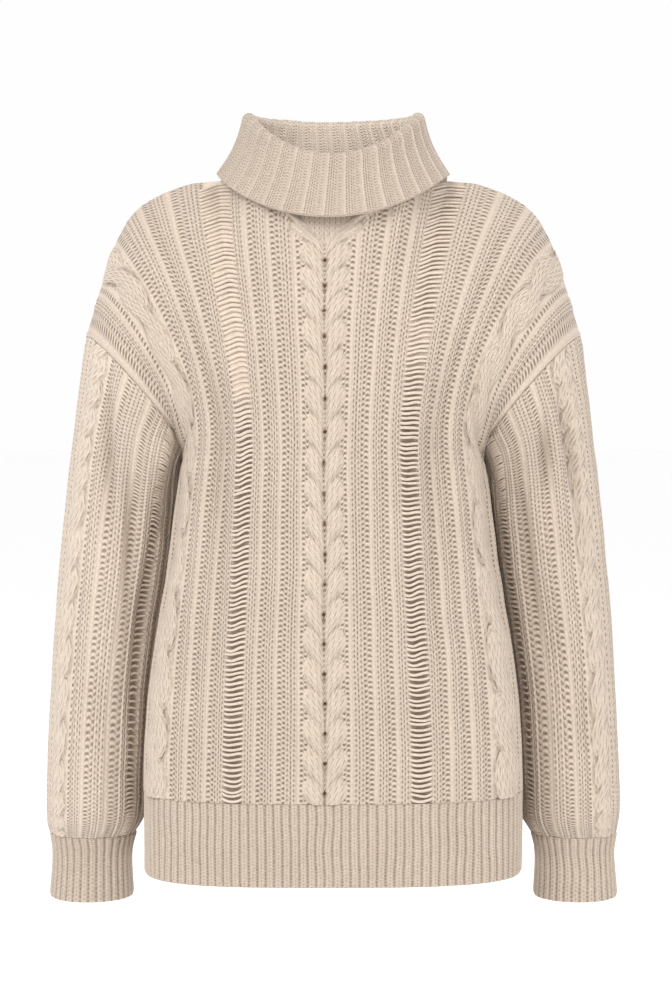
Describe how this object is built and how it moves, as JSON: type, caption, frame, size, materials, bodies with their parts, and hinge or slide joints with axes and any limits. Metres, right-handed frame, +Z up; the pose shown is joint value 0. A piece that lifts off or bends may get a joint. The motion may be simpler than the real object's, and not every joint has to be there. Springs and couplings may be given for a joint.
{
  "type": "cable knit roll-neck sweater",
  "caption": "Hollow worn-form knitted sweater with a turned-down roll collar, drop shoulders, long sleeves, a centre plait, side rope cables, ladder columns and ribbed hem and cuffs.",
  "frame": {"origin": "middle of the base of the neck, where the wearer's neck and shoulders carry the garment", "axes": "the front faces -Y, +X runs to the wearer's left and +Z is up"},
  "size_m": [0.54, 0.2055, 0.7338],
  "materials": {
    "cable_knit": "soft matt oatmeal wool-blend yarn, knitted in cables, ribs and ladders",
    "rib_knit": "soft matt oatmeal wool-blend yarn, knitted in rib"
  },
  "bodies": {
    "root": {"front_panel": "cable_knit", "back_panel": "cable_knit", "sleeve_left": "cable_knit", "sleeve_right": "cable_knit", "collar": "rib_knit", "hem_rib_front": "rib_knit", "hem_rib_back": "rib_knit", "cuff_left": "rib_knit", "cuff_right": "rib_knit"}
  },
  "joints": []
}
